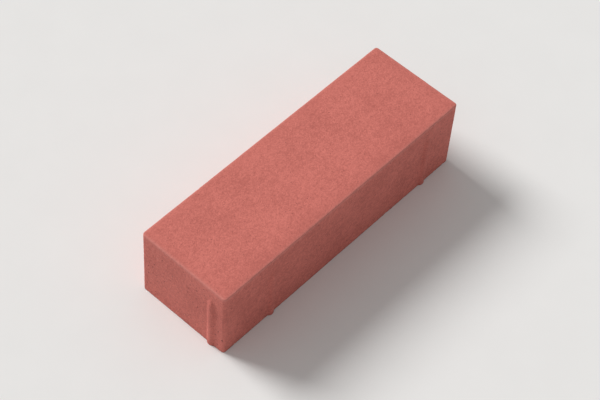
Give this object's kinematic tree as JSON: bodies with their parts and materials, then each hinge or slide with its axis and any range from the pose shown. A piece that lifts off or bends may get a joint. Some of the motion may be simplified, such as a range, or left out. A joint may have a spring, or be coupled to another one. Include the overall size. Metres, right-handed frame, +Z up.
{
  "type": "concrete paving stone",
  "caption": "Long rectangular concrete paving stone with a flat wearing face, gently rolled-off top edges and spacer ribs on its sides, laid flat in paths and yards.",
  "frame": {"origin": "middle of the stone's underside, on the surface that it lies on", "axes": "+X along the stone's length, +Y across it, +Z up out of the wearing face"},
  "size_m": [0.301, 0.101, 0.08],
  "materials": {
    "concrete": "fine-grained cast concrete, pigmented brick red all through, dry and matt"
  },
  "bodies": {
    "root": {"paving_stone": "concrete"}
  },
  "joints": []
}
